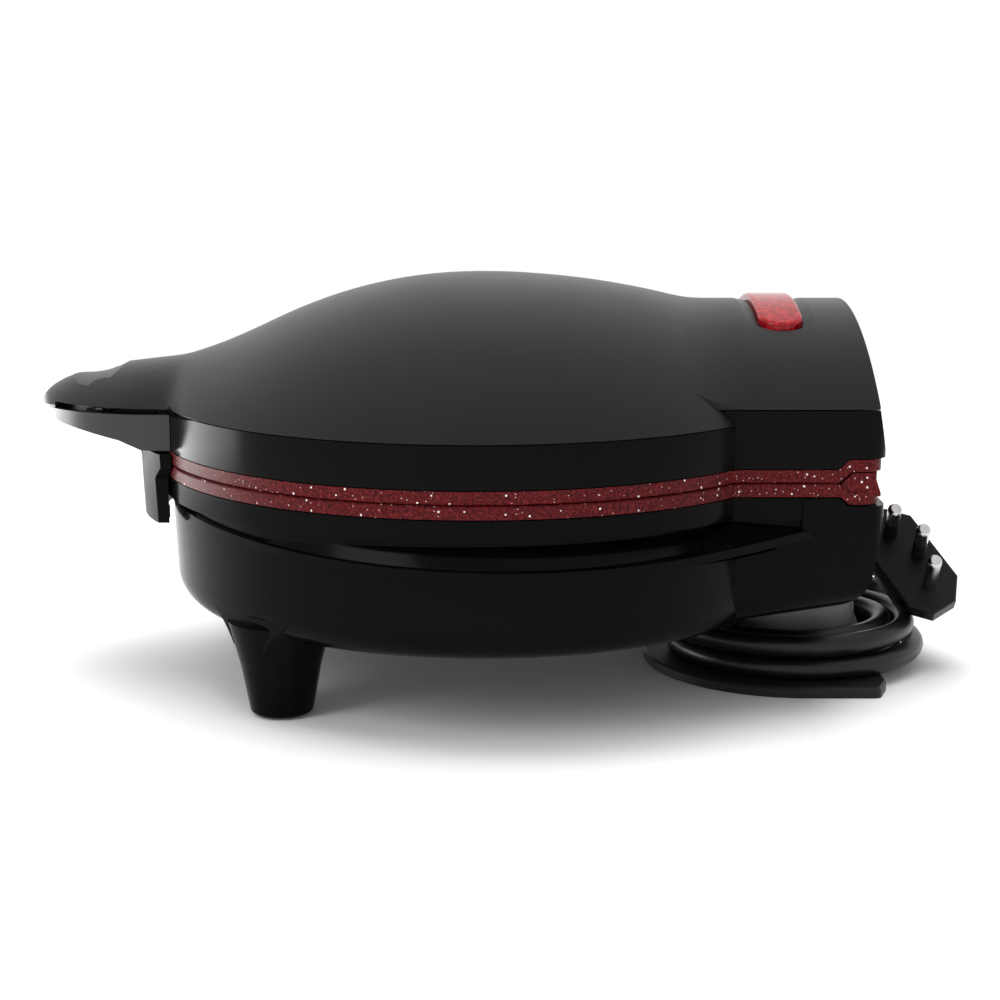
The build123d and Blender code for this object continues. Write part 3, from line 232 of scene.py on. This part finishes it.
wireLook = {"dark": (0.66, 0.63, 0.55), "light": (0.76, 0.73, 0.66), "driftScale": 90.0,
            "gloss": (0.45, 0.60), "grainScale": 900.0, "grainStrength": 0.10, "grainDepth": 0.00005,
            "specular": 0.4}


def darkPlateUnderSheenPost(tree, coords, color, look):
    # darker towards the bottom: the plate on the floor keeps a dark plastic colour, while the post above it
    # is lighter, grey satin plus a painted reflection of the floor
    split = addNode(tree, "ShaderNodeSeparateXYZ")
    tree.links.new(coords, split.inputs["Vector"])
    low = addNode(tree, "ShaderNodeMapRange")
    low.inputs["From Min"].default_value = look["fadeTop"]
    low.inputs["From Max"].default_value = look["lowTop"]
    tree.links.new(split.outputs["Z"], low.inputs["Value"])
    return mixColors(tree, low.outputs["Result"], color, look["lowColor"])


def driftingColor(tree, coords, look):
    drift = noise(tree, coords, look["driftScale"], driftDetail)
    return ramp(tree, drift, zip(driftStops, (look["dark"], look["light"])))


def mouldedPlastic(name, look):
    mat, tree, shader = newMaterial(name)
    coords = objectCoords(tree)
    color = driftingColor(tree, coords, look)
    if "lowColor" in look:
        color = darkPlateUnderSheenPost(tree, coords, color, look)
    tree.links.new(color, shader.inputs["Base Color"])
    cloud = noise(tree, coords, look["driftScale"] * cloudRatio, cloudDetail)
    tree.links.new(spread(tree, cloud, *look["gloss"]), shader.inputs["Roughness"])
    bump(tree, noise(tree, coords, look["grainScale"]), look["grainStrength"], look["grainDepth"], shader)
    shader.inputs["Specular IOR Level"].default_value = look["specular"]
    return mat


# metals: bright contacts, zinc screws, steel heaters and shields

metalBump = {"ratio": 2, "strength": 0.08, "depth": 0.00005}

screwLook = {"dark": (0.50, 0.49, 0.47), "light": (0.62, 0.61, 0.60), "driftScale": 120.0,
             "gloss": (0.25, 0.40), "grainScale": 700.0}
heaterLook = {"dark": (0.28, 0.25, 0.22), "light": (0.42, 0.39, 0.35), "driftScale": 50.0,
              "gloss": (0.40, 0.60), "grainScale": 600.0}
shieldLook = {"dark": (0.70, 0.71, 0.72), "light": (0.80, 0.81, 0.82), "driftScale": 20.0,
              "gloss": (0.20, 0.32), "grainScale": 400.0}
contactLook = {"dark": (0.44, 0.44, 0.43), "light": (0.58, 0.57, 0.56), "driftScale": 200.0,
               "gloss": (0.14, 0.24), "grainScale": 900.0}


def plainMetal(name, look):
    mat, tree, shader = newMaterial(name)
    coords = objectCoords(tree)
    tree.links.new(driftingColor(tree, coords, look), shader.inputs["Base Color"])
    cloud = noise(tree, coords, look["grainScale"], driftDetail)
    tree.links.new(spread(tree, cloud, *look["gloss"]), shader.inputs["Roughness"])
    bump(tree, noise(tree, coords, look["grainScale"] * metalBump["ratio"]), metalBump["strength"],
         metalBump["depth"], shader)
    shader.inputs["Metallic"].default_value = 1.0
    return mat


# red stone coating of the plates: dark and light grain with pale and black specks

stoneLook = {"dark": (0.038, 0.003, 0.004), "mid": (0.095, 0.006, 0.008), "light": (0.205, 0.022, 0.024),
             "stops": (0.36, 0.52, 0.72), "grainScale": 1500.0, "grainDetail": 3.0, "grainRoughness": 0.6,
             "grainStrength": 0.25, "grainDepth": 0.0001, "cloudRatio": 3, "gloss": (0.34, 0.46),
             "specular": 0.10,
             "pale": {"scale": 420.0, "size": 0.125, "share": 0.8, "color": (0.88, 0.78, 0.76)},
             "fine": {"scale": 820.0, "size": 0.13, "share": 0.5, "color": (0.62, 0.42, 0.40)},
             "black": {"scale": 700.0, "size": 0.17, "share": 0.5, "color": (0.012, 0.004, 0.004)}}


def specks(tree, coords, look):
    dots = cells(tree, coords, look["scale"])
    inside = mathNode(tree, "LESS_THAN", dots.outputs["Distance"], look["size"])
    split = addNode(tree, "ShaderNodeSeparateColor")
    tree.links.new(dots.outputs["Color"], split.inputs["Color"])
    chosen = mathNode(tree, "LESS_THAN", split.outputs["Red"], look["share"])
    return mathNode(tree, "MULTIPLY", inside, chosen)


def stoneCoating(name, look):
    mat, tree, shader = newMaterial(name)
    coords = objectCoords(tree)
    grain = noise(tree, coords, look["grainScale"], look["grainDetail"], look["grainRoughness"])
    color = ramp(tree, grain, zip(look["stops"], (look["dark"], look["mid"], look["light"])))
    for kind in ("black", "fine", "pale"):
        color = mixColors(tree, specks(tree, coords, look[kind]), color, look[kind]["color"])
    tree.links.new(color, shader.inputs["Base Color"])
    cloud = noise(tree, coords, look["grainScale"] / look["cloudRatio"])
    tree.links.new(spread(tree, cloud, *look["gloss"]), shader.inputs["Roughness"])
    bump(tree, grain, look["grainStrength"], look["grainDepth"], shader)
    shader.inputs["Specular IOR Level"].default_value = look["specular"]
    return mat


# pilot light: red lens with a beaded inside, clear lamp under it

lensLook = {"dark": (0.32, 0.003, 0.007), "light": (0.60, 0.016, 0.022), "gloss": (0.10, 0.18),
            "cloudScale": 300.0, "beads": 620.0, "beadStops": (0.15, 0.6), "beadStrength": 0.10,
            "beadDepth": 0.0001, "through": 0.15, "glow": 0.20, "glowDepth": 0.004, "specular": 0.22}
bulbLook = {"dark": (0.95, 0.75, 0.60), "light": (1.0, 0.85, 0.75), "driftScale": 90.0,
            "gloss": (0.03, 0.08), "cloudScale": 300.0, "waveScale": 150.0, "waveStrength": 0.02,
            "waveDepth": 0.0001, "through": 0.85}


def lensPlastic(name, look):
    mat, tree, shader = newMaterial(name)
    coords = objectCoords(tree)
    beads = cells(tree, coords, look["beads"]).outputs["Distance"]
    color = ramp(tree, beads, zip(look["beadStops"], (look["light"], look["dark"])))
    tree.links.new(color, shader.inputs["Base Color"])
    cloud = noise(tree, coords, look["cloudScale"])
    tree.links.new(spread(tree, cloud, *look["gloss"]), shader.inputs["Roughness"])
    bump(tree, beads, look["beadStrength"], look["beadDepth"], shader)
    shader.inputs["Transmission Weight"].default_value = look["through"]
    shader.inputs["Subsurface Weight"].default_value = look["glow"]
    shader.inputs["Subsurface Scale"].default_value = look["glowDepth"]
    shader.inputs["Specular IOR Level"].default_value = look["specular"]
    return mat


def bulbGlass(name, look):
    mat, tree, shader = newMaterial(name)
    coords = objectCoords(tree)
    tint = ramp(tree, noise(tree, coords, look["driftScale"]), zip(driftStops, (look["dark"], look["light"])))
    tree.links.new(tint, shader.inputs["Base Color"])
    cloud = noise(tree, coords, look["cloudScale"])
    tree.links.new(spread(tree, cloud, *look["gloss"]), shader.inputs["Roughness"])
    bump(tree, noise(tree, coords, look["waveScale"]), look["waveStrength"], look["waveDepth"], shader)
    shader.inputs["Transmission Weight"].default_value = look["through"]
    return mat


cordRubber = mouldedPlastic("cordRubber", cordRubberLook)
finishOf = {
    mouldedPlastic("coverMatte", coverLook): ["lid_cover"],
    mouldedPlastic("skirtGloss", skirtLook): ["lid_skirt"],
    mouldedPlastic("wedgeSatin", wedgeLook): ["handle_underside"],
    mouldedPlastic("shellGloss", shellLook): ["lower_housing"],
    mouldedPlastic("latchSatin", latchLook): ["latch"],
    mouldedPlastic("postSatinAndSheen", postSatinAndSheenLook): ["rear_stand"],
    mouldedPlastic("footRubber", footRubberLook): ["front_foot_pads", "cord_gland"],
    cordRubber: ["cord_lead", "cord_winding", "cord_tail"],
    mouldedPlastic("plugPlastic", plugLook): ["plug_body", "plug_pin_sleeves"],
    mouldedPlastic("blockPlastic", blockLook): ["terminal_block", "cord_clamp", "pilot_lamp_holder"],
    mouldedPlastic("wireSleeve", wireLook): ["base_wires", "lid_wires"],
    plainMetal("screwZinc", screwLook): ["rear_stand_screws", "lower_plate_screws", "upper_plate_screws",
                                         "handle_screws", "cord_clamp_screws", "hinge_pins", "latch_pin",
                                         "thermostat", "thermal_fuse"],
    plainMetal("heaterSteel", heaterLook): ["lower_heating_element", "upper_heating_element"],
    plainMetal("shieldSheet", shieldLook): ["lower_heat_shield", "upper_heat_shield"],
    plainMetal("contactMetal", contactLook): ["plug_pins"],
    stoneCoating("redStone", stoneLook): ["upper_plate", "lower_plate"],
    lensPlastic("lensRed", lensLook): ["pilot_lens"],
    bulbGlass("lampGlass", bulbLook): ["pilot_lamp"],
}
for finish, names in finishOf.items():
    for name in names:
        mesh = nodes[name].data
        mesh.materials.clear()
        mesh.materials.append(finish)
mainsCord.data.materials.append(cordRubber)
unfinished = set(nodes) - {name for names in finishOf.values() for name in names}
print("finishes assigned, left over:", sorted(unfinished))

# pale floor that fades into the white surround, and soft studio light

whiteColor = (1, 1, 1, 1)
studioLook = {"floorSize": 8.0, "floorColor": (0.94, 0.94, 0.94), "floorRoughness": 0.7,
              "floorSpecular": 0.1, "fadeStart": 0.30, "fadeEnd": 0.75,
              "nearGlow": 0.02, "skyStrength": 0.56}


def seenRays(tree):
    # 1 for rays that come from the eye, a reflection or a clear piece
    path = addNode(tree, "ShaderNodeLightPath")
    direct = mathNode(tree, "MAXIMUM", path.outputs["Is Camera Ray"], path.outputs["Is Glossy Ray"])
    return mathNode(tree, "MAXIMUM", direct, path.outputs["Is Transmission Ray"])


def mixShaders(tree, factor, first, second, target):
    chooser = addNode(tree, "ShaderNodeMixShader")
    tree.links.new(factor, chooser.inputs["Fac"])
    tree.links.new(first, chooser.inputs[1])
    tree.links.new(second, chooser.inputs[2])
    tree.links.new(chooser.outputs[0], target)


def paleFloor(look):
    mesh = bpy.data.meshes.new("studioFloor")
    half = look["floorSize"] / 2
    corners = [(-half, -half, 0), (half, -half, 0), (half, half, 0), (-half, half, 0)]
    mesh.from_pydata(corners, [], [(0, 1, 2, 3)])
    floor = bpy.data.objects.new("studioFloor", mesh)
    bpy.context.scene.collection.objects.link(floor)
    mat, tree, shader = newMaterial("studioFloor")
    shader.inputs["Base Color"].default_value = (*look["floorColor"], 1.0)
    shader.inputs["Roughness"].default_value = look["floorRoughness"]
    shader.inputs["Specular IOR Level"].default_value = look["floorSpecular"]
    length = addNode(tree, "ShaderNodeVectorMath", operation="LENGTH")
    tree.links.new(objectCoords(tree), length.inputs[0])
    fade = addNode(tree, "ShaderNodeMapRange", interpolation_type="SMOOTHSTEP")
    fade.inputs["From Min"].default_value = look["fadeStart"]
    fade.inputs["From Max"].default_value = look["fadeEnd"]
    fade.inputs["To Min"].default_value = look["nearGlow"]
    tree.links.new(length.outputs["Value"], fade.inputs["Value"])
    glow = addNode(tree, "ShaderNodeEmission")
    share = mathNode(tree, "MULTIPLY", fade.outputs["Result"], seenRays(tree))
    mixShaders(tree, share, shader.outputs[0], glow.outputs[0],
               tree.nodes["Material Output"].inputs["Surface"])
    mesh.materials.append(mat)
    return floor


def paleWorld(look):
    world = bpy.data.worlds.new("studioWorld")
    world.use_nodes = True
    tree = world.node_tree
    sky = tree.nodes["Background"]
    sky.inputs["Color"].default_value = whiteColor
    sky.inputs["Strength"].default_value = look["skyStrength"]
    surround = addNode(tree, "ShaderNodeBackground")
    surround.inputs["Color"].default_value = whiteColor
    mixShaders(tree, seenRays(tree), sky.outputs[0], surround.outputs[0],
               tree.nodes["World Output"].inputs["Surface"])
    bpy.context.scene.world = world


# the side panel shows in the gloss alone, and the floor box lights the floor alone

lampLooks = {
    "topBox": {"place": (-0.35, 0.0, 1.3), "aim": (0, 0, 0.05), "size": (1.3, 1.3), "power": 14.0,
               "inGloss": False},
    "frontBox": {"place": (0.8, -0.9, 0.9), "aim": (0, 0, 0.06), "size": (0.5, 0.9), "power": 6.5},
    "sidePanel": {"place": (-0.12, -0.38, 0.055), "aim": (0.03, -0.08, 0.06), "size": (0.36, 0.12),
                  "power": 1.2, "inDiffuse": False},
    "floorBox": {"place": (0.1, 0.0, 1.5), "aim": (0, 0, 0), "size": (1.0, 1.0), "power": 8.5,
                 "floorOnly": True},
}


def areaLamp(name, look, floor):
    data = bpy.data.lights.new(name, "AREA")
    data.shape = "RECTANGLE"
    data.size, data.size_y = look["size"]
    data.energy = look["power"]
    lamp = bpy.data.objects.new(name, data)
    lamp.location = look["place"]
    lamp.rotation_euler = (Vector(look["aim"]) - Vector(look["place"])).to_track_quat("-Z", "Y").to_euler()
    lamp.visible_camera = False
    lamp.visible_glossy = look.get("inGloss", True)
    lamp.visible_diffuse = look.get("inDiffuse", True)
    if look.get("floorOnly"):
        receivers = bpy.data.collections.new(name + "Receivers")
        receivers.objects.link(floor)
        lamp.light_linking.receiver_collection = receivers
    bpy.context.scene.collection.objects.link(lamp)


studioFloor = paleFloor(studioLook)
paleWorld(studioLook)
for name, look in lampLooks.items():
    areaLamp(name, look, studioFloor)
bpy.context.scene.view_settings.view_transform = "Standard"
print("studio lit")

bpy.context.view_layer.update()
